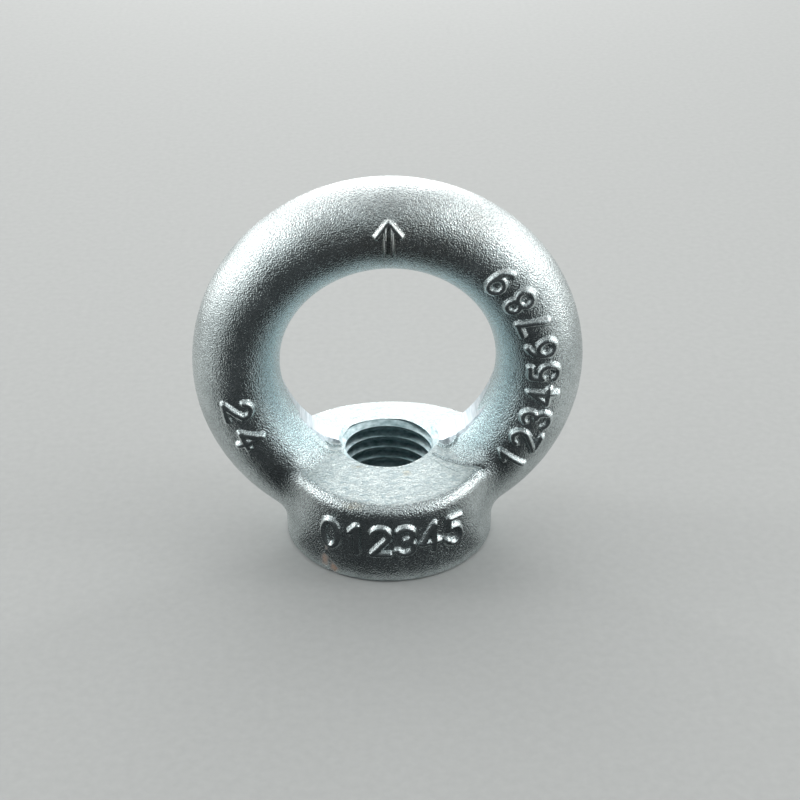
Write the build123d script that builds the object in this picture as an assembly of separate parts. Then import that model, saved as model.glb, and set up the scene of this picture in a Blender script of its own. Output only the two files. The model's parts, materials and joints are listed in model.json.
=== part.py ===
# Lifting eye nut, drop forged in one piece: a round ring standing on a round threaded collar.
# Millimetres, +Z up the thread, ring in the XZ plane, origin at the middle of the collar's flat base.
# The forging dies meet in the XZ plane and open along Y, so the top of the collar has draft and
# falls away either side of the ring like a low roof. The flash inside the ring was punched out,
# which leaves a smooth straight land behind the parting line in the lower half of the opening.
from math import radians, tan
import os

from build123d import *

# Ring
ring_inner_d = 50.0
ring_section = 20.2
ring_depth = 22.0

# Collar
collar_d = 50.0
collar_height = 20.0
top_draft_deg = 10.0
ridge_r = 12.0
top_edge_r = 2.0
base_edge = 0.6

# Forged blend that runs round each limb, from the crotch down to the neck
blend_r = 6.5

# Trimmed land inside the ring: the punch is a little wider than the opening and stands a little high
trim_over = 1.1
trim_rise = 1.8
trim_floor = 0.2
trim_corner_r = 9.0
trim_front = 1.0
trim_back = 4.5
trim_lean_deg = 48.0

# Metric thread, whose hole is modelled at the minor diameter, 1.0825 pitches under the nominal.
# Each countersink is given by its width outside the hole.
thread_d = 24.0
thread_pitch = 3.0
minor_pitches = 1.0825
top_countersink = 1.3
base_countersink = 2.1
countersink_deg = 45.0

# Worked out from the sizes above
collar_r = collar_d / 2
ring_mean_r = (ring_inner_d + ring_section) / 2
ring_centre_z = collar_height + ring_inner_d / 2
hole_r = (thread_d - minor_pitches * thread_pitch) / 2
draft = tan(radians(top_draft_deg))
sharp_ridge_z = collar_height + collar_r * draft
reach = 2 * (collar_d + ring_inner_d + 2 * ring_section)


def make_ring():
    # An oval section, a little fuller across the dies than it is tall, swept round the ring's axis.
    axis = Axis((0, 0, ring_centre_z), (0, 1, 0))
    plane = Plane(origin=(ring_mean_r, 0, ring_centre_z), x_dir=(0, 1, 0), z_dir=(0, 0, 1))
    return revolve(plane * Ellipse(ring_depth / 2, ring_section / 2), axis)


def make_collar():
    # A round bar cut off by two drafted slopes, with the ridge between them and the rim rounded.
    eaves_z = sharp_ridge_z - reach * draft
    outline = make_face(Polyline(
        (-reach, eaves_z), (0, sharp_ridge_z), (reach, eaves_z), (reach, -reach), (-reach, -reach),
        close=True))
    outline = fillet(outline.vertices().sort_by(Axis.Y)[-1], ridge_r)
    side = Plane(origin=(-reach, 0, 0), x_dir=(0, 1, 0), z_dir=(1, 0, 0))
    roof = extrude(side * outline, 2 * reach)
    collar = Rot(0, 0, 90) * extrude(Circle(collar_r), sharp_ridge_z) & roof
    rim = [edge for edge in collar.edges()
           if edge.center().Z > collar_height / 2 and edge.geom_type != GeomType.LINE]
    return fillet(rim, top_edge_r)


def make_punch(ridge_z):
    # A round punch with a flat bottom and rounded corners. It is straight through the land,
    # then opens out until the forged surface takes over.
    outline = Pos(0, ring_centre_z + trim_rise) * Circle(ring_inner_d / 2 + trim_over)
    outline -= Pos(0, ridge_z + trim_floor - reach / 2) * Rectangle(reach, reach)
    outline = fillet(outline.vertices(), trim_corner_r)
    front = Plane(origin=(0, -trim_front, 0), x_dir=(-1, 0, 0), z_dir=(0, 1, 0))
    back = Plane(origin=(0, trim_back, 0), x_dir=(-1, 0, 0), z_dir=(0, 1, 0))
    straight = extrude(front * outline, trim_front + trim_back)
    flared = extrude(back * outline, ring_depth / 2, taper=-trim_lean_deg)
    return straight + flared


def make_trim_land(ridge_z):
    # What the punch leaves of the web between the dies. It reaches back half way between the
    # straight land and the back of the ring, where the flare has already run out in the ring.
    web_back = (trim_back + ring_depth / 2) / 2
    front = Plane(origin=(0, -trim_front, ring_centre_z), x_dir=(-1, 0, 0), z_dir=(0, 1, 0))
    web = extrude(front * Circle(ring_mean_r), trim_front + web_back)
    lower_half = Pos(0, 0, ring_centre_z - reach / 2) * Box(reach, reach, reach)
    return (web & lower_half) - make_punch(ridge_z)


def make_forging(collar, ridge_z):
    # The blend is made before the land is added, so that it runs on unbroken round each limb.
    ring = make_ring()
    above_base = extrude(Rectangle(reach, reach), reach)
    body = (ring + collar) & above_base
    body = fillet(new_edges(ring, collar, combined=body), blend_r)
    body += make_trim_land(ridge_z)
    base_rim = body.faces().sort_by(Axis.Z)[0].edges()
    return chamfer(base_rim, base_edge)


def make_countersink(width):
    # Mouth on the XY plane, narrowing downwards to the hole, with as much again cleared above it.
    depth = width / tan(radians(countersink_deg))
    return Pos(0, 0, -depth) * Cone(
        hole_r, hole_r + 2 * width, 2 * depth, align=(Align.CENTER, Align.CENTER, Align.MIN))


def make_hole(ridge_z):
    # The drill stops in the open eye, below the top of the ring.
    drill = extrude(Circle(hole_r), ring_centre_z)
    top = Pos(0, 0, ridge_z) * make_countersink(top_countersink)
    base = Rot(180, 0, 0) * make_countersink(base_countersink)
    return drill + top + base


def make_eye_nut():
    collar = make_collar()
    ridge_z = collar.bounding_box().max.Z
    return make_forging(collar, ridge_z) - make_hole(ridge_z)


eye_nut = make_eye_nut()
eye_nut.label = "eye_nut"
os.makedirs("parts", exist_ok=True)
export_step(eye_nut, "parts/eye_nut.step")
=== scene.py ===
import json
import math

import bmesh
import bpy
import numpy as np
from mathutils import Matrix, Vector, noise

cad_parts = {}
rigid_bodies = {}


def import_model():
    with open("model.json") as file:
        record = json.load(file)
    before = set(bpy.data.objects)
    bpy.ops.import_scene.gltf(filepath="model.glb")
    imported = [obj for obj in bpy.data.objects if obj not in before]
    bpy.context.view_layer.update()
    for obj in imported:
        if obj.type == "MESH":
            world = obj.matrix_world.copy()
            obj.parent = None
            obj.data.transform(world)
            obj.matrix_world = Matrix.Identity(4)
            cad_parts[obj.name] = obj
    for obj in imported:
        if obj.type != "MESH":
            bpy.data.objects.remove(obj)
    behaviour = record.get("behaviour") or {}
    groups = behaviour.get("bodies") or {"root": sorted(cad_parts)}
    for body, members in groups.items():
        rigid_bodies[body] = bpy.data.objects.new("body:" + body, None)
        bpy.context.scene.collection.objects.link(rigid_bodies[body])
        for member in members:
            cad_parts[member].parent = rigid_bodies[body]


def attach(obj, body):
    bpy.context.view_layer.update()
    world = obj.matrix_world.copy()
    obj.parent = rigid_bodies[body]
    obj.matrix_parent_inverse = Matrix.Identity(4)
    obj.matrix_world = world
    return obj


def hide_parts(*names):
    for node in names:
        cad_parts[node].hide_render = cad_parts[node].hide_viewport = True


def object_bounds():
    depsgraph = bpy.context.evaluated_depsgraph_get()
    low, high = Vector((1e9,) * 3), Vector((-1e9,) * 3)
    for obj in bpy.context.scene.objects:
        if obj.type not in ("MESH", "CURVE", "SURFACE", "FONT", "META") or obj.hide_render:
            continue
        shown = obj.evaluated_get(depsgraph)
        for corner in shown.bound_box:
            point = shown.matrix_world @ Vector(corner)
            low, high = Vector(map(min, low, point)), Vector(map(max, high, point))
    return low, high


for left in list(bpy.data.objects):  # Blender's own start-up cube, lamp and camera
    bpy.data.objects.remove(left)
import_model()  # one CAD node, eye_nut, on the body root
cadLow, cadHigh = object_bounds()
print("frame loaded, box in mm", [round(v * 1000, 1) for v in (*cadLow, *cadHigh)])

mm = 0.001


# What the frame doesn't say about the forging, in millimetres and degrees
forging = {
    "section": 20.2, "depth": 22.0,
    "eaves": 20.0, "draft": 10.0, "ridgeRadius": 12.0,
    "rimRadius": 2.05,
    "rimWorn": 0.55,      # how much rounder the rim is at the front, and sharper behind
    "rimFade": 6.0,       # how gently that changes over the middle
    "blendRadius": 6.5,
    "above": 0.2,         # spare height of the rough collar over its ridge
    "below": 3.0,         # extra length under the base, cut off flat later
    "around": 200, "across": 48, "barSides": 160,  # faces of the rough solids
    "voxels": (0.8, 0.68),
    "sharp": 32.0,        # corners sharper than this stay crisp
}
ringOuter = cadHigh.x / mm
collarRadius = cadHigh.y / mm
eyeHeight = cadHigh.z / mm - ringOuter
ringMean = ringOuter - forging["section"] / 2
slope = math.tan(math.radians(forging["draft"]))
sharpRidge = forging["eaves"] + collarRadius * slope
ridgeTop = sharpRidge - forging["ridgeRadius"] * (1 / math.cos(math.atan(slope)) - 1)


def ringField(p):
    # near enough the distance from an oval section swept round the eye's axis
    a, b = forging["section"] / 2, forging["depth"] / 2
    r = np.hypot(p[:, 0], p[:, 2] - eyeHeight) - ringMean
    g = np.hypot(r / a, p[:, 1] / b)
    return g * (g - 1) / np.maximum(np.hypot(r / a ** 2, p[:, 1] / b ** 2), 1e-6)


def roofHeight(y):
    radius = forging["ridgeRadius"]
    arc = ridgeTop - radius + np.sqrt(np.maximum(radius ** 2 - y ** 2, 0))
    tangent = radius * math.sin(math.atan(slope))
    return np.where(np.abs(y) < tangent, arc, sharpRidge - np.abs(y) * slope)


def collarField(p):
    wall = np.hypot(p[:, 0], p[:, 1]) - collarRadius
    roof = (p[:, 2] - roofHeight(p[:, 1])) * math.cos(math.atan(slope))
    r = forging["rimRadius"] - forging["rimWorn"] * np.tanh(p[:, 1] / forging["rimFade"])
    deep = np.minimum(np.maximum(wall, roof), -r)
    top = deep + np.hypot(np.maximum(wall + r, 0), np.maximum(roof + r, 0))
    return np.maximum(top, -forging["below"] - p[:, 2])


def gradient(field, p, step=0.02):
    columns = []
    for axis in range(3):
        move = np.zeros(3)
        move[axis] = step
        columns.append((field(p + move) - field(p - move)) / (2 * step))
    return np.stack(columns, 1)


def forgingField(p):
    # a ball of the blend's radius rolled along the corner between ring and collar
    ring, collar = ringField(p), collarField(p)
    ringWay, collarWay = gradient(ringField, p), gradient(collarField, p)
    lengths = np.linalg.norm(ringWay, axis=1) * np.linalg.norm(collarWay, axis=1)
    c = np.clip((ringWay * collarWay).sum(1) / np.maximum(lengths, 1e-9), -0.98, 0.98)
    r = forging["blendRadius"]
    u, v = r - ring, r - collar
    ball = r - np.sqrt(np.maximum(u ** 2 + v ** 2 - 2 * c * u * v, 0) / (1 - c ** 2))
    unblended = np.minimum(ring, collar)
    return np.where((u - c * v > 0) & (v - c * u > 0), np.minimum(ball, unblended), unblended)


def outwards(p):
    way = gradient(forgingField, p)
    return way / np.maximum(np.linalg.norm(way, axis=1)[:, None], 1e-9)


def readPoints(mesh):
    flat = np.empty(len(mesh.vertices) * 3)
    mesh.vertices.foreach_get("co", flat)
    return flat.reshape(-1, 3) / mm


def writePoints(mesh, p):
    mesh.vertices.foreach_set("co", (p * mm).ravel())
    mesh.update()


def settle(p, rounds=4, longest=1.0, flattest=0.2):
    # points walked on to the forged surface by Newton's steps, none longer than a millimetre
    for _ in range(rounds):
        g = gradient(forgingField, p)
        square = np.maximum((g ** 2).sum(1), flattest)
        move = (forgingField(p) / square)[:, None] * g
        length = np.linalg.norm(move, axis=1)[:, None]
        p = p - move * np.minimum(1, longest / np.maximum(length, 1e-9))
    return p


def newObject(name, data):
    made = bpy.data.objects.new(name, data)
    bpy.context.scene.collection.objects.link(made)
    return made


def newMesh(name, bm):
    mesh = bpy.data.meshes.new(name)
    bm.to_mesh(mesh)
    bm.free()
    return mesh


def covered(mesh, material):
    mesh.materials.clear()
    mesh.materials.append(material)


def joinRows(bm, rows):
    # faces between each row of points and the next, both ways round, turned outwards
    for a, b in zip(rows, rows[1:] + rows[:1]):
        for k in range(len(a)):
            n = (k + 1) % len(a)
            bm.faces.new((a[k], a[n], b[n], b[k]))
    bmesh.ops.recalc_face_normals(bm, faces=bm.faces)


def applied(obj):
    # the object's modifiers turned into its own mesh
    graph = bpy.context.evaluated_depsgraph_get()
    mesh = bpy.data.meshes.new_from_object(obj.evaluated_get(graph))
    obj.modifiers.clear()
    old = obj.data
    obj.data = mesh
    if old.users == 0:
        bpy.data.meshes.remove(old)
    return mesh


def remesh(obj, size):
    change = obj.modifiers.new("remesh", "REMESH")
    change.mode = "VOXEL"
    change.voxel_size = size * mm
    return applied(obj)


def makeBlank():
    # ring and collar as rough solids, remeshed as one and settled on the forged surface
    bm = bmesh.new()
    top = ridgeTop + forging["above"]
    bmesh.ops.create_cone(bm, cap_ends=True, segments=forging["barSides"], radius1=collarRadius * mm,
                          radius2=collarRadius * mm, depth=(top + forging["below"]) * mm,
                          matrix=Matrix.Translation((0, 0, (top - forging["below"]) / 2 * mm)))
    around, section = forging["around"], forging["across"]
    rows = []
    for i in range(around):
        turn = 2 * math.pi * i / around
        row = []
        for k in range(section):
            s = 2 * math.pi * k / section
            r = ringMean + forging["section"] / 2 * math.cos(s)
            row.append(bm.verts.new((r * math.cos(turn) * mm, forging["depth"] / 2 * math.sin(s) * mm,
                                     (eyeHeight + r * math.sin(turn)) * mm)))
        rows.append(row)
    joinRows(bm, rows)
    blank = newObject("blank", newMesh("blank", bm))
    for size in forging["voxels"]:
        mesh = remesh(blank, size)
        writePoints(mesh, settle(readPoints(mesh)))
    return blank


def linear(tone):
    # a colour written as sRGB hex, turned to the linear values that the shaders use
    parts = [int(tone[i:i + 2], 16) / 255 for i in (1, 3, 5)]
    return (*[c / 12.92 if c <= 0.04045 else ((c + 0.055) / 1.055) ** 2.4 for c in parts], 1)


def addNode(tree, kind, settings={}, links={}):
    # a node with its settings, its inputs set to a value or joined to another node's output
    node = tree.nodes.new(kind)
    for name, value in settings.items():
        setattr(node, name, value)
    for name, value in links.items():
        if isinstance(value, bpy.types.NodeSocket):
            tree.links.new(value, node.inputs[name])
        else:
            node.inputs[name].default_value = value
    return node


def newMaterial(name):
    material = bpy.data.materials.new(name)
    material.use_nodes = True
    material.node_tree.nodes.clear()
    return material, material.node_tree


def finishMaterial(tree, links):
    shader = addNode(tree, "ShaderNodeBsdfPrincipled", {}, links)
    addNode(tree, "ShaderNodeOutputMaterial", {}, {"Surface": shader.outputs[0]})


def spot(tree, where, unrest, middle, size, soft, strength):
    # a ragged patch: its full strength in the middle, falling to 0 over its soft edge
    moved = addNode(tree, "ShaderNodeVectorMath", {"operation": "SUBTRACT"},
                    {0: where, 1: [v * mm for v in middle]})
    scaled = addNode(tree, "ShaderNodeVectorMath", {"operation": "DIVIDE"},
                     {0: moved.outputs[0], 1: [v * mm for v in size]})
    reach = addNode(tree, "ShaderNodeVectorMath", {"operation": "LENGTH"}, {0: scaled.outputs[0]})
    ragged = addNode(tree, "ShaderNodeMath", {"operation": "ADD"}, {0: reach.outputs["Value"], 1: unrest})
    edge = 1.5  # the unrest is about 1 on the whole, so this is half a size from the middle
    inside = addNode(tree, "ShaderNodeMapRange", {"interpolation_type": "SMOOTHSTEP"},
                     {"Value": ragged.outputs[0], "From Min": edge + soft, "From Max": edge - soft,
                      "To Max": strength})
    return inside.outputs[0]


def between(limits, unit=1):
    # the two values at which a range starts and is full
    return {"From Min": limits[0] * unit, "From Max": limits[1] * unit}


# The forging's plating: widths, heights and depths in millimetres, angles in degrees. A spread is the part
# of a noise's values over which the tone or finish changes.
plating = {
    "dentWidth": 0.34, "dentDepth": 0.2,
    "pitWidth": 1.1, "pitDepth": 0.03,
    "cloudWidth": 11, "cloudSpread": (0.35, 0.65),
    "speckWidth": 1.3, "speckSpread": (0.3, 0.7),
    "scratchSize": (1.5, 0.6, 4), "scratchDepth": 0.34, "scratchTurn": -14, "scratchSpread": (0.4, 0.62),
    "dark": "#c2cbcb", "light": "#dfe8e8",
    # the next tone is painted shade in the bottoms of the grain's dents
    "dentShade": "#777d7f", "dentShadeSpread": (0.52, 0.38), "dentShadeStrength": 0.5,
    # painted reflection: a cyan tint inside the eye that stands in for the floor mirrored there
    "paintedEyeReflection": "#c4dfe4", "eyeReflectionStrength": 0.7,
    "eyeReflectionReach": (33, 26.5),       # from the eye's axis, where the painted reflection starts and is full
    "eyeReflectionHeight": (21, 27),
    "roof": "#dfe6e2", "roofStrength": 0.6, "roofWorn": "#9dadb1",
    "roofHeight": (26, 24.6),
    "roofFacing": (0.9, 0.97),       # how squarely the skin faces up
    "smoothGrain": 0.3,              # what is left of the grain on the roof and the marks
    "roughness": (0.15, 0.25), "roofRougher": 0.16,
    "rustedMetal": 0.25,
}

# Thin plating, painted shade, stains and rust on the front: middle and size of each patch in millimetres
patches = {
    "brown": {"tone": "#8a7c6f", "strength": 0.45, "soft": 0.7, "places": (((2, -8, 79), (26, 9, 9)),)},
    # painted shade in the creases where the limbs meet the collar, and on the right limb's front
    "paintedShade": {"tone": "#575b5d", "strength": 0.5, "soft": 0.7, "places": (
        ((19, -10.8, 23.3), (4, 1.2, 1.6)), ((33, -9, 58), (5, 4, 9)),
        ((-25, -9, 22), (5, 4, 6)), ((27, -9, 24), (4, 4, 6)))},
    "stain": {"tone": "#a39066", "strength": 0.6, "soft": 0.5, "places": (
        ((3.6, -12.6, 22.2), (1.8, 1.4, 1.8)), ((-7.4, -10.0, 22.8), (2.4, 1.6, 1.8)),
        ((-7.5, -21.5, 19.3), (4.5, 2.0, 1.4)), ((0.5, -23.4, 18.7), (5.5, 1.4, 0.7)))},
    "rust": {"tone": "#96602f", "strength": 0.7, "soft": 0.35, "places": (
        ((-15.4, -19.7, 7.6), (1.2, 1.7, 2.8)), ((-15.9, -19.3, 3.2), (2.0, 2.2, 2.8)),
        ((-13.8, -21.0, 1.8), (1.6, 1.8, 2.8)))},
}


def blastedForging():
    # Drop-forged steel, shot blasted and bright zinc plated: a fine even sparkle of small dents, their
    # bottoms darkened as painted shade, over blue-grey metal, with a painted cyan reflection inside the
    # eye and painted shade where the limbs meet the collar, browner where the plating is thin, with a
    # little rust.
    material, tree = newMaterial("shotBlastedZinc")
    place = addNode(tree, "ShaderNodeTexCoord")
    where = place.outputs["Object"]
    dents = addNode(tree, "ShaderNodeTexNoise", {},
                    {"Vector": where, "Scale": 1 / (plating["dentWidth"] * mm), "Detail": 1.0})
    pits = addNode(tree, "ShaderNodeTexVoronoi", {"feature": "SMOOTH_F1"},
                   {"Vector": where, "Scale": 1 / (plating["pitWidth"] * mm)})
    clouds = addNode(tree, "ShaderNodeTexNoise", {},
                     {"Vector": where, "Scale": 1 / (plating["cloudWidth"] * mm), "Detail": 3.0})
    specks = addNode(tree, "ShaderNodeTexNoise", {},
                     {"Vector": where, "Scale": 1 / (plating["speckWidth"] * mm), "Detail": 3.0})
    unrest = addNode(tree, "ShaderNodeMath", {"operation": "ADD"},
                     {0: specks.outputs[0], 1: clouds.outputs[0]})

    # the collar's top, and the inside of the eye above it, where a cyan reflection is painted
    parts = addNode(tree, "ShaderNodeSeparateXYZ", {}, {0: where})
    facing = addNode(tree, "ShaderNodeSeparateXYZ", {}, {0: place.outputs["Normal"]})
    upward = addNode(tree, "ShaderNodeMapRange", {},
                     {"Value": facing.outputs[2], **between(plating["roofFacing"])})
    low = addNode(tree, "ShaderNodeMapRange", {},
                  {"Value": parts.outputs[2], **between(plating["roofHeight"], mm)})
    roof = addNode(tree, "ShaderNodeMath", {"operation": "MULTIPLY"},
                   {0: upward.outputs[0], 1: low.outputs[0]})
    # painted cyan reflection inside the eye, near its axis and above the collar
    fromEye = addNode(tree, "ShaderNodeVectorMath", {"operation": "SUBTRACT"},
                      {0: where, 1: (0, 0, eyeHeight * mm)})
    inPlane = addNode(tree, "ShaderNodeVectorMath", {"operation": "MULTIPLY"},
                      {0: fromEye.outputs[0], 1: (1, 0, 1)})
    across = addNode(tree, "ShaderNodeVectorMath", {"operation": "LENGTH"}, {0: inPlane.outputs[0]})
    inside = addNode(tree, "ShaderNodeMapRange", {"interpolation_type": "SMOOTHSTEP"},
                     {"Value": across.outputs["Value"], **between(plating["eyeReflectionReach"], mm),
                      "To Max": plating["eyeReflectionStrength"]})
    high = addNode(tree, "ShaderNodeMapRange", {},
                   {"Value": parts.outputs[2], **between(plating["eyeReflectionHeight"], mm)})
    blue = addNode(tree, "ShaderNodeMath", {"operation": "MULTIPLY"},
                   {0: inside.outputs[0], 1: high.outputs[0]})
    pale = addNode(tree, "ShaderNodeMath", {"operation": "MULTIPLY"},
                   {0: roof.outputs[0], 1: plating["roofStrength"]})
    # painted shade: the bottoms of the grain's dents darkened
    dentShade = addNode(tree, "ShaderNodeMapRange", {},
                     {"Value": dents.outputs[0], **between(plating["dentShadeSpread"]),
                      "To Max": plating["dentShadeStrength"]})

    # fine scratches over the collar's top, where the grain is worn down
    along = addNode(tree, "ShaderNodeMapping", {},
                    {"Vector": where, "Rotation": (0, 0, math.radians(plating["scratchTurn"])),
                     "Scale": [1 / (v * mm) for v in plating["scratchSize"]]})
    scratches = addNode(tree, "ShaderNodeTexNoise", {},
                        {"Vector": along.outputs[0], "Scale": 1.0, "Detail": 4.0, "Roughness": 0.7,
                         "Distortion": 1.2})
    scraped = addNode(tree, "ShaderNodeMapRange", {},
                      {"Value": scratches.outputs[0], **between(plating["scratchSpread"])})
    worn = addNode(tree, "ShaderNodeMath", {"operation": "MULTIPLY"},
                   {0: roof.outputs[0], 1: scraped.outputs[0]})

    # tints, painted reflection and painted shade among them, each laid over the ones before it
    cloudy = addNode(tree, "ShaderNodeMapRange", {},
                     {"Value": clouds.outputs[0], **between(plating["cloudSpread"])})
    layers = [(cloudy.outputs[0], plating["light"]), (blue.outputs[0], plating["paintedEyeReflection"]),
              (pale.outputs[0], plating["roof"]), (dentShade.outputs[0], plating["dentShade"])]
    rusty = []
    for kind, patch in patches.items():
        for middle, size in patch["places"]:
            amount = spot(tree, where, unrest.outputs[0], middle, size, patch["soft"], patch["strength"])
            layers.append((amount, patch["tone"]))
            if kind == "rust":
                rusty.append(amount)
    layers.append((worn.outputs[0], plating["roofWorn"]))
    colour = linear(plating["dark"])
    for amount, tone in layers:
        mixed = addNode(tree, "ShaderNodeMix", {"data_type": "RGBA"},
                        {0: amount, 6: colour, 7: linear(tone)})
        colour = mixed.outputs[2]
    rust = rusty[0]
    for amount in rusty[1:]:
        more = addNode(tree, "ShaderNodeMath", {"operation": "MAXIMUM"}, {0: rust, 1: amount})
        rust = more.outputs[0]
    bare = addNode(tree, "ShaderNodeMapRange", {},
                   {"Value": rust, "From Max": patches["rust"]["strength"], "To Min": 1.0,
                    "To Max": plating["rustedMetal"]})

    proud = addNode(tree, "ShaderNodeAttribute", {"attribute_name": "raised"})
    smooth = addNode(tree, "ShaderNodeMath", {"operation": "MAXIMUM"},
                     {0: roof.outputs[0], 1: proud.outputs["Fac"]})
    grainy = addNode(tree, "ShaderNodeMapRange", {},
                     {"Value": smooth.outputs[0], "To Min": 1.0, "To Max": plating["smoothGrain"]})
    pitted = addNode(tree, "ShaderNodeBump", {},
                     {"Height": pits.outputs["Distance"], "Strength": grainy.outputs[0],
                      "Distance": plating["pitDepth"] * mm})
    dented = addNode(tree, "ShaderNodeBump", {},
                     {"Height": dents.outputs[0], "Strength": grainy.outputs[0],
                      "Distance": plating["dentDepth"] * mm, "Normal": pitted.outputs[0]})
    scratched = addNode(tree, "ShaderNodeBump", {},
                        {"Height": scratches.outputs[0], "Strength": roof.outputs[0],
                         "Distance": plating["scratchDepth"] * mm, "Normal": dented.outputs[0]})
    shiny, dull = plating["roughness"]
    uneven = addNode(tree, "ShaderNodeMapRange", {},
                     {"Value": specks.outputs[0], **between(plating["speckSpread"]),
                      "To Min": shiny, "To Max": dull})
    matt = addNode(tree, "ShaderNodeMath", {"operation": "MULTIPLY_ADD"},
                   {0: roof.outputs[0], 1: plating["roofRougher"], 2: uneven.outputs[0]})
    finishMaterial(tree, {"Base Color": colour, "Metallic": bare.outputs[0], "Roughness": matt.outputs[0],
                          "Normal": scratched.outputs[0]})
    return material


# Metal that a tool has cut: how wide and long its marks are, how deep, and the tones between them
cutMetal = {
    "sheared": {"size": (0.35, 6, 0.35), "depth": 0.03, "spread": (0.35, 0.65),
                "dark": "#bac8ce", "light": "#d7e0e5", "roughness": 0.3},
    "tapped": {"size": (1.8, 1.8, 0.5), "depth": 0.02, "spread": (0.3, 0.7),
               "dark": "#91a9ad", "light": "#d7e8eb", "roughness": 0.34},
    "turned": {"size": (0.4, 0.4, 0.4), "depth": 0.025, "spread": (0.3, 0.7),
               "dark": "#b6c1c5", "light": "#d3dcdf", "roughness": 0.3},
}


def toolMarks(tree, where, look, detail):
    # a shader with the marks of a cutting tool: noise drawn out along the cut
    drawn = addNode(tree, "ShaderNodeMapping", {},
                    {"Vector": where, "Scale": [1 / (v * mm) for v in look["size"]]})
    lines = addNode(tree, "ShaderNodeTexNoise", {},
                    {"Vector": drawn.outputs[0], "Scale": 1.0, "Detail": detail})
    bump = addNode(tree, "ShaderNodeBump", {},
                   {"Height": lines.outputs[0], "Strength": 1.0, "Distance": look["depth"] * mm})
    shade = addNode(tree, "ShaderNodeMapRange", {}, {"Value": lines.outputs[0], **between(look["spread"])})
    tone = addNode(tree, "ShaderNodeMix", {"data_type": "RGBA"},
                   {0: shade.outputs[0], 6: linear(look["dark"]), 7: linear(look["light"])})
    finishMaterial(tree, {"Base Color": tone.outputs[2], "Metallic": 1.0, "Roughness": look["roughness"],
                          "Normal": bump.outputs[0]})


def shearedLand():
    # The same steel sheared by the trimming punch and plated: smooth, with fine streaks along the cut.
    material, tree = newMaterial("shearedZinc")
    place = addNode(tree, "ShaderNodeTexCoord")
    toolMarks(tree, place.outputs["Object"], cutMetal["sheared"], 3.0)
    return material


def tappedThread():
    # Steel cut by a tap and plated: bright blue-grey flanks with fine lines round the hole.
    material, tree = newMaterial("tappedZinc")
    place = addNode(tree, "ShaderNodeTexCoord")
    toolMarks(tree, place.outputs["Object"], cutMetal["tapped"], 3.0)
    return material


def turnedBase():
    # The faced underside, plated over: fine rings that the lathe tool left round the axis.
    material, tree = newMaterial("turnedZinc")
    place = addNode(tree, "ShaderNodeTexCoord")
    parts = addNode(tree, "ShaderNodeSeparateXYZ", {}, {0: place.outputs["Object"]})
    flat = addNode(tree, "ShaderNodeCombineXYZ", {}, {0: parts.outputs[0], 1: parts.outputs[1]})
    reach = addNode(tree, "ShaderNodeVectorMath", {"operation": "LENGTH"}, {0: flat.outputs[0]})
    outward = addNode(tree, "ShaderNodeCombineXYZ", {}, {0: reach.outputs["Value"], 1: parts.outputs[2]})
    toolMarks(tree, outward.outputs[0], cutMetal["turned"], 2.0)
    return material


def darkCard():
    # Black felt over card, for the flag: it gives back very little light.
    material, tree = newMaterial("blackFelt")
    finishMaterial(tree, {"Base Color": linear("#2b2e30"), "Roughness": 0.95})
    return material


# Pale card under the nut, whose tooth is in millimetres
card = {"tooth": 2, "dark": "#a5a6a5", "light": "#b0b2b0", "roughness": 0.85}


def matteCard():
    # Pale studio card with a faint tooth, so that it isn't one flat colour.
    material, tree = newMaterial("paleCard")
    place = addNode(tree, "ShaderNodeTexCoord")
    tooth = addNode(tree, "ShaderNodeTexNoise", {},
                    {"Vector": place.outputs["Object"], "Scale": 1 / (card["tooth"] * mm), "Detail": 2.0})
    tone = addNode(tree, "ShaderNodeMix", {"data_type": "RGBA"},
                   {0: tooth.outputs[0], 6: linear(card["dark"]), 7: linear(card["light"])})
    finishMaterial(tree, {"Base Color": tone.outputs[2], "Roughness": card["roughness"]})
    return material


def stroke(x, y, wide, high, start, end):
    # an arc of an ellipse as a run of points, turned from one angle to the other
    steps = max(5, int(abs(end - start) / 15))
    turns = [math.radians(start + (end - start) * i / steps) for i in range(steps + 1)]
    return [(x + wide * math.cos(t), y + high * math.sin(t)) for t in turns]


def halfTurn(lines):
    return [[(-x, -y) for x, y in line] for line in lines]


# Plain numerals one unit high and one wide, about their own middle
numeral = {
    "0": [stroke(0, 0, 0.48, 0.5, 0, 360)],
    "1": [[(-0.28, 0.26), (0.08, 0.5), (0.08, -0.5)]],
    "2": [stroke(0, 0.22, 0.46, 0.28, 165, -25) + [(-0.46, -0.5), (0.48, -0.5)]],
    "3": [stroke(-0.02, 0.26, 0.42, 0.24, 150, -80), stroke(-0.02, -0.24, 0.48, 0.26, 80, -150)],
    "4": [[(0.2, -0.5), (0.2, 0.5), (-0.48, -0.2), (0.5, -0.2)]],
    "5": [[(0.42, 0.5), (-0.34, 0.5), (-0.4, 0.06)] + stroke(-0.02, -0.18, 0.48, 0.32, 130, -145)],
    "6": [stroke(0, -0.2, 0.46, 0.3, 0, 360), stroke(0.35, -0.2, 0.81, 0.68, 180, 97)],
    "7": [[(-0.48, 0.5), (0.46, 0.5), (-0.12, -0.5)]],
    "8": [stroke(0, 0.26, 0.38, 0.24, 0, 360), stroke(0, -0.24, 0.46, 0.26, 0, 360)],
}
numeral["9"] = halfTurn(numeral["6"])

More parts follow.
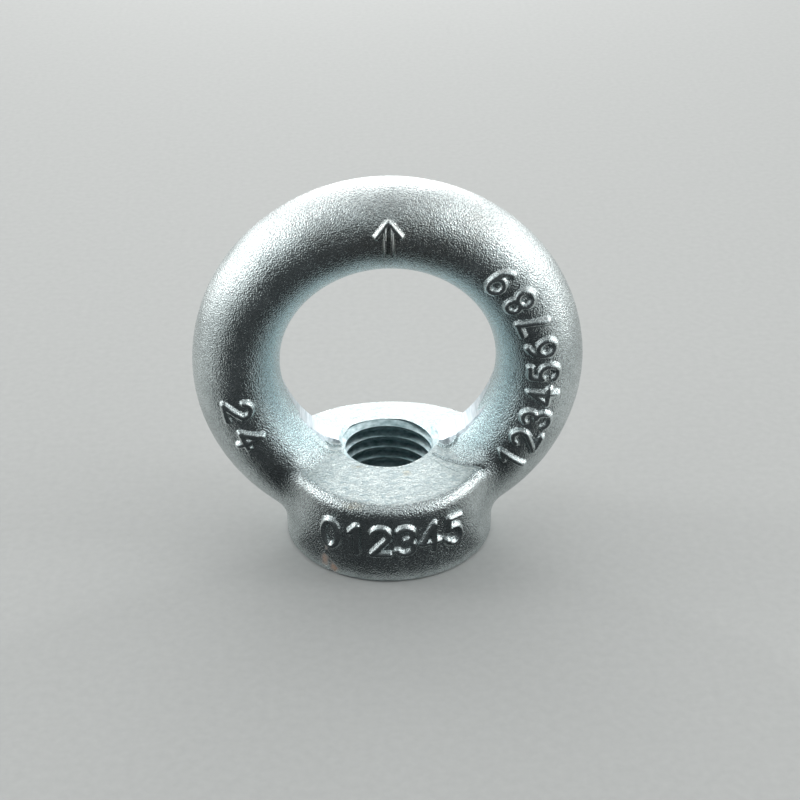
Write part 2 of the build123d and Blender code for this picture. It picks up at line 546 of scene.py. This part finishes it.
# Raised marks, in millimetres and degrees. Angles on the ring run from its right side upwards.
marks = {
    "strokeWidth": 2.15, "rise": 1.0,
    "roundness": 0.75,    # 0.5 is a half round bead, 1 a parabola
    "fine": 1.8,          # how far out the mesh is made finer, in halves of a stroke's width
    "limbText": "123456789", "limbTurns": (-36.5, -26.6, -16.6, -6.6, 3.4, 13.6, 24, 34.8, 46),
    "limbHeight": 6.2, "limbWidth": 3.7,
    "leftText": "24", "leftTurns": (-170, -157.5), "leftHeight": 5.8, "leftWidth": 4.0,
    "arrowFoot": -3.1, "arrowTip": 4.3, "arrowHead": 2.5, "arrowBack": 2.8, "arrowWidth": 0.75,
    "shaftGap": 1.2, "arrowStroke": 1.3, "headWider": 1.3,
    "collarText": "012345", "collarTurns": (-34.6, -20.3, -6.6, 6.6, 20.3, 34.4),
    "collarHeight": 7.0, "collarWidth": 4.2, "collarMiddle": 11.6,
    "ringFront": -6, "ringLow": 21, "ringReach": 8,  # the part of the ring's front that may bear marks
    "collarHigh": 18, "collarSkin": 1.5,             # and of the collar's side
}


# Folds, a nick and a curl of flash on the collar's top: each a path seen from above, in millimetres
flaws = (
    {"path": ((10.4, -6.4), (13.6, -8.6), (17.5, -10.4), (22.5, -12.0)), "half": 0.6, "rise": -0.45},
    {"path": ((10.2, -8.4), (13.0, -11.2), (16.4, -13.4)), "half": 0.5, "rise": -0.15},
    {"path": ((-15.8, -1.6), (-14.0, -2.8), (-11.6, -2.7)), "half": 0.6, "rise": -0.3},
    {"path": ((-18.5, -3.6), (-14.8, -4.4), (-11.5, -4.2)), "half": 1.2, "rise": 0.2},
    {"path": ((11.6, -1.0), (11.9, -2.8), (13.4, -3.9), (15.4, -3.6), (16.2, -2.2)),
     "half": 0.75, "rise": 0.45},
)
flawHeights = (19, 30)    # they lie between these heights
flawMargin = 0.7          # how far past a flaw the mesh is made finer


def written(text, middles, height, width):
    # the numerals' strokes as straight pieces: two ends and half the stroke's width
    half, segments = marks["strokeWidth"] / 2, []
    for letter, (u, v) in zip(text, middles):
        for line in numeral[letter]:
            placed = [(u + x * width, v + y * height) for x, y in line]
            segments += [(*a, *b, half) for a, b in zip(placed, placed[1:])]
    return segments


def ringMarks():
    arm = math.radians(1) * ringMean
    segments = written(marks["limbText"], [(t * arm, 0) for t in marks["limbTurns"]],
                       marks["limbHeight"], marks["limbWidth"])
    segments += written(marks["leftText"], [(t * arm, 0) for t in marks["leftTurns"]],
                        marks["leftHeight"], marks["leftWidth"])
    top, tip, foot, half = 90 * arm, -marks["arrowTip"], -marks["arrowFoot"], marks["arrowStroke"] / 2
    for side in (-1, 1):
        segments.append((top, tip, top + side * marks["arrowHead"], tip + marks["arrowBack"],
                         half * marks["headWider"]))
        shaft = top + side * marks["arrowWidth"]
        segments.append((shaft, tip + marks["shaftGap"], shaft, foot, half))
    return segments


def collarMarks():
    arm = math.radians(1) * collarRadius
    middles = [(t * arm, marks["collarMiddle"]) for t in marks["collarTurns"]]
    return written(marks["collarText"], middles, marks["collarHeight"], marks["collarWidth"])


farAway = 100.0  # for points that no mark or flaw can reach


def strokeDistance(flat, segments):
    # distance to the nearest stroke, in halves of that stroke's width
    best = np.full(len(flat), farAway)
    for ax, ay, bx, by, half in segments:
        along = np.array([bx - ax, by - ay])
        rel = flat - np.array([ax, ay])
        t = np.clip(rel @ along / max(along @ along, 1e-9), 0, 1)
        best = np.minimum(best, np.hypot(*(rel - t[:, None] * along).T) / half)
    return best


def markDistance(p):
    # how far each point is from the nearest stroke, laid on the ring's face or round the collar
    distance = np.full(len(p), farAway)
    across = np.hypot(p[:, 0], p[:, 2] - eyeHeight)
    onRing = (p[:, 1] < marks["ringFront"]) & (p[:, 2] > marks["ringLow"])
    onRing &= np.abs(across - ringMean) < marks["ringReach"]
    turn = np.arctan2(p[onRing, 2] - eyeHeight, p[onRing, 0])
    flat = np.stack([turn * ringMean, ringMean - across[onRing]], 1)
    distance[onRing] = strokeDistance(flat, ringMarks())
    onCollar = (p[:, 1] < 0) & (p[:, 2] < marks["collarHigh"])
    onCollar &= np.hypot(p[:, 0], p[:, 1]) > collarRadius - marks["collarSkin"]
    turn = np.arctan2(p[onCollar, 0], -p[onCollar, 1])
    flat = np.stack([turn * collarRadius, p[onCollar, 2]], 1)
    distance[onCollar] = strokeDistance(flat, collarMarks())
    return distance


def flawDistance(p, flaw):
    distance = np.full(len(p), farAway)
    low, high = flawHeights
    onTop = (p[:, 2] > low) & (p[:, 2] < high) & (np.hypot(p[:, 0], p[:, 1]) < collarRadius)
    segments = [(*a, *b, flaw["half"]) for a, b in zip(flaw["path"], flaw["path"][1:])]
    distance[onTop] = strokeDistance(p[onTop, :2], segments)
    return distance


def raiseMarks(obj):
    # the mesh made finer round the marks and flaws, then moved out or in along the skin
    bm = bmesh.new()
    bm.from_mesh(obj.data)
    middles = np.array([face.calc_center_median() for face in bm.faces]) / mm
    near = markDistance(middles) < marks["fine"]
    for flaw in flaws:
        near |= flawDistance(middles, flaw) < 1 + flawMargin / flaw["half"]
    edges = {edge for face, wanted in zip(bm.faces, near) if wanted for edge in face.edges}
    bmesh.ops.subdivide_edges(bm, edges=list(edges), cuts=2, use_grid_fill=True)
    bm.to_mesh(obj.data)
    bm.free()
    p = settle(readPoints(obj.data), 2)
    t = np.clip(1 - markDistance(p) ** 2, 0, 1)
    height = marks["rise"] * t ** marks["roundness"]
    raised = obj.data.attributes.new("raised", "FLOAT", "POINT")  # the plating is smoother there
    raised.data.foreach_set("value", np.sqrt(t))
    for flaw in flaws:
        t = np.clip(1 - flawDistance(p, flaw), 0, 1)
        height += flaw["rise"] * t * t * (3 - 2 * t)
    writePoints(obj.data, p + height[:, None] * outwards(p))


# Unevenness of the forged and shot-blasted skin: width of a lump and how deep it goes, in mm
skin = {"grains": ((1.4, 0.012), (4.5, 0.02), (17.0, 0.06)), "under": 0.06}


def roughenSkin(obj):
    p = readPoints(obj.data)
    deep = np.full(len(p), -skin["under"])
    for width, depth in skin["grains"]:
        deep += depth * np.array([noise.noise(Vector(q)) for q in p / width])
    writePoints(obj.data, p + np.minimum(deep, 0)[:, None] * outwards(p))


# Land that the trimming punch left in the lower half of the eye, in millimetres and degrees
land = {
    "over": 1.1, "rise": 1.8, "floor": 0.2, "corner": 9.0,
    "straightTo": 4.5, "backTo": 7.75, "lean": 48.0, "inMetal": 4.5,
    "frontLeft": -1.3, "frontRight": -2.6, "sideFade": 6,
    "ragged": 0.55, "raggedWidth": 2.4, "tornShare": 0.4, "tornWidth": 0.8,
    "streak": 0.05, "streakWidth": 0.42, "step": 0.3,
    "lipOut": 1.5, "lipBack": 1.1, "edgeOut": 0.35, "edgeBack": 0.4,
    "wallPoints": ((1.2, 1.2), (1.0, 3.0)),  # share of the streaks' depth, and how far back
}


def punchOutline():
    # the punch's edge as points, each with its outward direction, once round
    radius, middle = ringOuter - forging["section"] + land["over"], eyeHeight + land["rise"]
    level, corner = ridgeTop + land["floor"], land["corner"]
    drop = middle - level - corner
    side = math.sqrt((radius - corner) ** 2 - drop ** 2)
    meets = math.atan2(-drop, side)
    runs = [((side, level + corner), corner, -math.pi / 2, meets),
            ((0, middle), radius, meets, math.pi - meets),
            ((-side, level + corner), corner, math.pi - meets, math.pi * 1.5)]
    outline = []
    for (x, z), r, start, end in runs:
        count = max(2, int((end - start) * r / land["step"]))
        for i in range(count):
            t = start + (end - start) * i / count
            outline.append((x + r * math.cos(t), z + r * math.sin(t), math.cos(t), math.sin(t)))
    count = int(2 * side / land["step"])
    for i in range(count):
        outline.append((-side + 2 * side * i / count, level, 0, -1))
    return outline


def makeLand():
    # a closed band that follows the punch's edge, with the sheared wall on its inside
    lean = math.tan(math.radians(land["lean"]))
    flare = (land["backTo"] - land["straightTo"]) * lean
    bm = bmesh.new()
    rows = []
    for x, z, nx, nz in punchOutline():
        toRight = 0.5 + 0.5 * math.tanh(x / land["sideFade"])
        front = land["frontLeft"] + (land["frontRight"] - land["frontLeft"]) * toRight
        front += land["ragged"] * noise.noise(Vector((x, 3, z)) / land["raggedWidth"])
        front += land["tornShare"] * land["ragged"] * noise.noise(Vector((x, 9, z)) / land["tornWidth"])
        rough = land["streak"] * noise.noise(Vector((x, 0, z)) / land["streakWidth"])
        # each point of the profile: how far out from the punch's edge, and how far back
        profile = [(land["lipOut"], front - land["lipBack"]), (rough + land["edgeOut"], front),
                   (rough, front + land["edgeBack"])]
        profile += [(rough * share, back) for share, back in land["wallPoints"]]
        profile += [(0, land["straightTo"]), (flare / 2, (land["straightTo"] + land["backTo"]) / 2),
                    (flare, land["backTo"]), (land["inMetal"], land["backTo"]),
                    (land["inMetal"], front - land["lipBack"])]
        rows.append([bm.verts.new(((x + nx * out) * mm, y * mm, (z + nz * out) * mm))
                     for out, y in profile])
    joinRows(bm, rows)
    return newObject("land", newMesh("land", bm))


def lathe(name, outline, around):
    # an outline of radius and height from axis to axis, turned about the thread's axis
    bm = bmesh.new()
    rows = []
    for i in range(around):
        t = 2 * math.pi * i / around
        row = []
        for r, z in outline:
            row.append(bm.verts.new((r * math.cos(t) * mm, r * math.sin(t) * mm, z * mm)))
        rows.append(row)
    for a, b in zip(rows, rows[1:] + rows[:1]):
        for k in range(len(a) - 1):
            bm.faces.new((a[k], a[k + 1], b[k + 1], b[k]))
    bmesh.ops.remove_doubles(bm, verts=bm.verts, dist=1e-7)
    bmesh.ops.recalc_face_normals(bm, faces=bm.faces)
    return newObject(name, newMesh(name, bm))


# Tapped hole and turned base, in millimetres: an M24 thread of 3 mm pitch
tapping = {
    "pitch": 3.0, "major": 12.0, "minor": 10.376, "crest": 0.75, "root": 0.375, "over": 0.5,
    "from": -2.5, "turns": 10.2, "perTurn": 96,
    "topMouth": 1.3, "baseMouth": 2.1, "baseEdge": 0.6, "spare": 2.0, "clear": 3.0,
    "holeSides": 192, "baseSides": 400,
    "chipWidth": 2.2, "chipDepth": 0.8, "chipLeast": 0.1,
}


def grooveTree():
    # a thread's groove: a trapezium carried up a helix
    tree = bpy.data.node_groups.new("threadGroove", "GeometryNodeTree")
    for name, kind in (("Pitch", "Float"), ("Turns", "Float"), ("Middle radius", "Float"),
                       ("Groove depth", "Float"), ("Mouth", "Float"), ("Root", "Float"),
                       ("Points per turn", "Int"), ("Finish", "Material")):
        tree.interface.new_socket(name=name, in_out="INPUT", socket_type="NodeSocket" + kind)
    tree.interface.new_socket(name="Geometry", in_out="OUTPUT", socket_type="NodeSocketGeometry")
    sizes = tree.nodes.new("NodeGroupInput")
    result = tree.nodes.new("NodeGroupOutput")
    height = addNode(tree, "ShaderNodeMath", {"operation": "MULTIPLY"},
                     {0: sizes.outputs["Pitch"], 1: sizes.outputs["Turns"]})
    helix = addNode(tree, "GeometryNodeCurveSpiral", {},
                    {"Resolution": sizes.outputs["Points per turn"], "Rotations": sizes.outputs["Turns"],
                     "Start Radius": sizes.outputs["Middle radius"],
                     "End Radius": sizes.outputs["Middle radius"], "Height": height.outputs[0],
                     "Reverse": True})
    upright = addNode(tree, "GeometryNodeSetCurveNormal", {"mode": "Z_UP"}, {"Curve": helix.outputs[0]})
    outline = addNode(tree, "GeometryNodeCurvePrimitiveQuadrilateral", {"mode": "TRAPEZOID"},
                      {"Bottom Width": sizes.outputs["Mouth"], "Top Width": sizes.outputs["Root"],
                       "Height": sizes.outputs["Groove depth"], "Offset": 0.0})
    outward = addNode(tree, "GeometryNodeTransform", {},
                      {"Geometry": outline.outputs[0], "Rotation": (0, 0, -math.pi / 2)})
    swept = addNode(tree, "GeometryNodeCurveToMesh", {},
                    {"Curve": upright.outputs[0], "Profile Curve": outward.outputs[0], "Fill Caps": True})
    real = addNode(tree, "GeometryNodeRealizeInstances", {}, {0: swept.outputs[0]})
    finished = addNode(tree, "GeometryNodeSetMaterial", {},
                       {"Geometry": real.outputs[0], "Material": sizes.outputs["Finish"]})
    tree.links.new(finished.outputs[0], result.inputs[0])
    return tree


def cutGroove(finish):
    depth = tapping["major"] - tapping["minor"]
    perDepth = (tapping["pitch"] - tapping["crest"] - tapping["root"]) / depth
    over = tapping["over"]
    mouth = tapping["pitch"] - tapping["crest"] + perDepth * over
    sizes = {
        "Pitch": tapping["pitch"] * mm, "Turns": tapping["turns"],
        "Middle radius": (tapping["major"] + tapping["minor"] - over) / 2 * mm,
        "Groove depth": (depth + over) * mm, "Mouth": mouth * mm, "Root": tapping["root"] * mm,
        "Points per turn": tapping["perTurn"], "Finish": finish,
    }
    tree = grooveTree()
    groove = newObject("threadGroove", bpy.data.meshes.new("threadGroove"))
    change = groove.modifiers.new("groove", "NODES")
    change.node_group = tree
    for item in tree.interface.items_tree:
        if item.item_type == "SOCKET" and item.in_out == "INPUT":
            change[item.identifier] = sizes[item.name]
    groove.data.update()
    mesh = applied(groove)
    p = readPoints(mesh)
    p[:, 2] += tapping["from"]
    writePoints(mesh, p)
    return groove


def combine(obj, tool, how):
    change = obj.modifiers.new(how, "BOOLEAN")
    change.operation = how
    change.solver = "MANIFOLD"
    change.material_mode = "TRANSFER"
    change.object = tool
    applied(obj)
    bpy.data.objects.remove(tool)


def cutBase(blank):
    # the base faced flat and its edge chamfered, a little chipped
    edge, wide = tapping["baseEdge"], collarRadius + 2 * tapping["spare"]
    low = -forging["below"] - tapping["spare"]
    flatRadius = collarRadius - edge
    base = lathe("baseCut", [(0, 0), (flatRadius, 0), (wide, wide - collarRadius + edge), (wide, low),
                             (0, low)], tapping["baseSides"])
    p = readPoints(base.data)
    rim = np.abs(np.hypot(p[:, 0], p[:, 1]) - flatRadius) < 0.01
    chips = np.array([noise.noise(Vector(q)) for q in p[rim] / tapping["chipWidth"]])
    chips = np.maximum(chips - tapping["chipLeast"], 0)
    p[rim, :2] *= (1 - tapping["chipDepth"] / collarRadius * chips)[:, None]
    writePoints(base.data, p)
    covered(base.data, turnedBase())
    combine(blank, base, "DIFFERENCE")


def cutHole(blank):
    thread = tappedThread()
    r, top, under, spare = tapping["minor"], tapping["topMouth"], tapping["baseMouth"], tapping["spare"]
    hole = lathe("holeCut", [(0, -spare), (r + under + spare, -spare), (r, under), (r, ridgeTop - top),
                             (r + 2 * top, ridgeTop + top), (r + 2 * top, ridgeTop + tapping["clear"]),
                             (0, ridgeTop + tapping["clear"])], tapping["holeSides"])
    covered(hole.data, thread)
    combine(blank, hole, "DIFFERENCE")
    combine(blank, cutGroove(thread), "DIFFERENCE")


def makeEyeNut():
    blank = makeBlank()
    print("blank settled on the forged shape,", len(blank.data.polygons), "faces")
    raiseMarks(blank)
    print("marks raised,", len(blank.data.polygons), "faces")
    roughenSkin(blank)
    covered(blank.data, blastedForging())
    band = makeLand()
    covered(band.data, shearedLand())
    combine(blank, band, "UNION")
    cutBase(blank)
    cutHole(blank)
    mesh = blank.data
    mesh.polygons.foreach_set("use_smooth", [True] * len(mesh.polygons))
    mesh.set_sharp_from_angle(angle=math.radians(forging["sharp"]))
    blank.name = "eyeNut"
    mesh.name = "eyeNut"
    print("land, base, hole and thread cut,", len(mesh.polygons), "faces,",
          sum(len(f.vertices) - 2 for f in mesh.polygons), "triangles")
    return blank


eyeNut = makeEyeNut()
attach(eyeNut, "root")
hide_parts("eye_nut")


# Pale floor that the nut stands on, in millimetres
floorSheet = {"wide": 6000, "middle": 1500}


def makeFloor():
    half = floorSheet["wide"] / 2
    bm = bmesh.new()
    corners = [bm.verts.new((x * half * mm, (y * half + floorSheet["middle"]) * mm, cadLow.z))
               for x, y in ((-1, -1), (1, -1), (1, 1), (-1, 1))]
    bm.faces.new(corners)
    mesh = newMesh("floor", bm)
    covered(mesh, matteCard())
    return newObject("floor", mesh)


makeFloor()
print("floor laid")


# Soft studio light. Places and sizes in millimetres, light as the brightness of the lamp's face.
lampAim = (0, 0, 45)
lamps = {
    "leftBox": {"at": (-620, 120, 420), "size": 200, "bright": 5.9},
    "rightBox": {"at": (650, -60, 380), "size": 200, "bright": 5.9},
    "rearBox": {"at": (0, 760, 230), "size": 420, "bright": 2.65},
}


# The room: which way its dark opening lies and how wide and low it is, its tones by degrees off that way,
# its brightness at the sides and overhead, and the flag's corners in millimetres
room = {
    "front": (-0.06, -0.998, 0), "opening": (1.8, 1.0, 0.9),
    "tones": ((0, "#222425"), (28, "#2b2d2e"), (42, "#5a5e5f"), (56, "#a0a5a6"), (72, "#dadedf"),
              (95, "#ffffff"), (180, "#ffffff")),
    "walls": 1.85, "roof": 0.66, "roofSpread": (0.6, 0.98),
    "seen": "#cbcccd",
    "flag": ((80, -50, 2), (110, -100, 3), (170, -300, 185), (-260, -300, 185), (-150, -100, 3),
             (-110, -50, 2)),
    "flagGap": 1.5, "flagTurns": (200, 215, 230, 245, 260, 275, 290, 305, 320, 335),
}


def hangLamps():
    for name, lamp in lamps.items():
        light = bpy.data.lights.new(name, "AREA")
        light.shape = "SQUARE"
        light.size = lamp["size"] * mm
        light.energy = lamp["bright"] * math.pi * light.size ** 2
        hung = newObject(name, light)
        hung.location = Vector(lamp["at"]) * mm
        way = Vector(lampAim) * mm - hung.location
        hung.rotation_euler = way.to_track_quat("-Z", "Y").to_euler()


def lightRoom():
    # a pale tent at the sides and behind, a little dimmer overhead, open and dark towards the front
    world = bpy.data.worlds.new("studio")
    bpy.context.scene.world = world
    world.use_nodes = True
    tree = world.node_tree
    tree.nodes.clear()
    way = addNode(tree, "ShaderNodeTexCoord")
    opening = addNode(tree, "ShaderNodeVectorMath", {"operation": "MULTIPLY"},
                      {0: way.outputs["Generated"], 1: room["opening"]})
    unit = addNode(tree, "ShaderNodeVectorMath", {"operation": "NORMALIZE"}, {0: opening.outputs[0]})
    facing = addNode(tree, "ShaderNodeVectorMath", {"operation": "DOT_PRODUCT"},
                     {0: unit.outputs[0], 1: room["front"]})
    off = addNode(tree, "ShaderNodeMath", {"operation": "ARCCOSINE"}, {0: facing.outputs["Value"]})
    turn = addNode(tree, "ShaderNodeMath", {"operation": "DIVIDE"}, {0: off.outputs[0], 1: math.pi})
    shade = addNode(tree, "ShaderNodeValToRGB", {}, {"Fac": turn.outputs[0]})
    ramp = shade.color_ramp
    while len(ramp.elements) < len(room["tones"]):
        ramp.elements.new(0.5)
    for stop, (degrees, tone) in zip(ramp.elements, room["tones"]):
        stop.position = degrees / 180
        stop.color = linear(tone)
    parts = addNode(tree, "ShaderNodeSeparateXYZ", {}, {0: way.outputs["Generated"]})
    above = addNode(tree, "ShaderNodeMapRange", {"interpolation_type": "SMOOTHSTEP"},
                    {"Value": parts.outputs[2], **between(room["roofSpread"]), "To Min": room["walls"],
                     "To Max": room["roof"]})
    seen = addNode(tree, "ShaderNodeLightPath")
    plain = addNode(tree, "ShaderNodeBackground", {}, {"Color": linear(room["seen"]), "Strength": 1.0})
    lit = addNode(tree, "ShaderNodeBackground", {}, {"Color": shade.outputs["Color"],
                                                     "Strength": above.outputs[0]})
    both = addNode(tree, "ShaderNodeMixShader", {},
                   {0: seen.outputs["Is Camera Ray"], 1: lit.outputs[0], 2: plain.outputs[0]})
    addNode(tree, "ShaderNodeOutputWorld", {}, {"Surface": both.outputs[0]})


def hangFlag():
    # a dark card under the camera, which only reflections see: it keeps the front of the metal dark
    bm = bmesh.new()
    reach = collarRadius + room["flagGap"]
    near = [(reach * math.cos(t), reach * math.sin(t), 1) for t in map(math.radians, room["flagTurns"])]
    bm.faces.new([bm.verts.new(Vector(corner) * mm) for corner in (*near, *room["flag"])])
    mesh = newMesh("flag", bm)
    covered(mesh, darkCard())
    flag = newObject("flag", mesh)
    flag.visible_camera = flag.visible_diffuse = flag.visible_shadow = False
    return flag


hangLamps()
lightRoom()
hangFlag()


# Where the photograph was taken from, in millimetres and degrees
viewpoint = {"at": (-10.55, -327.8, 227.3), "to": (5.11, 58.64, 0), "roll": -0.232, "lens": 72.82,
             "nearest": 10}


def setCamera():
    camera = bpy.data.cameras.new("camera")
    camera.lens = viewpoint["lens"]
    camera.clip_start = viewpoint["nearest"] * mm
    seen = newObject("camera", camera)
    at = Vector(viewpoint["at"]) * mm
    way = (Vector(viewpoint["to"]) * mm - at).normalized()
    right = way.cross(Vector((0, 0, 1))).normalized()
    up = right.cross(way)
    tilt = math.radians(viewpoint["roll"])
    x = math.cos(tilt) * right + math.sin(tilt) * up
    y = math.cos(tilt) * up - math.sin(tilt) * right
    seen.matrix_world = Matrix((x, y, -way)).transposed().to_4x4()
    seen.location = at
    bpy.context.scene.camera = seen


setCamera()
bpy.context.scene.view_settings.view_transform = "Standard"
print("lamps hung and camera set")
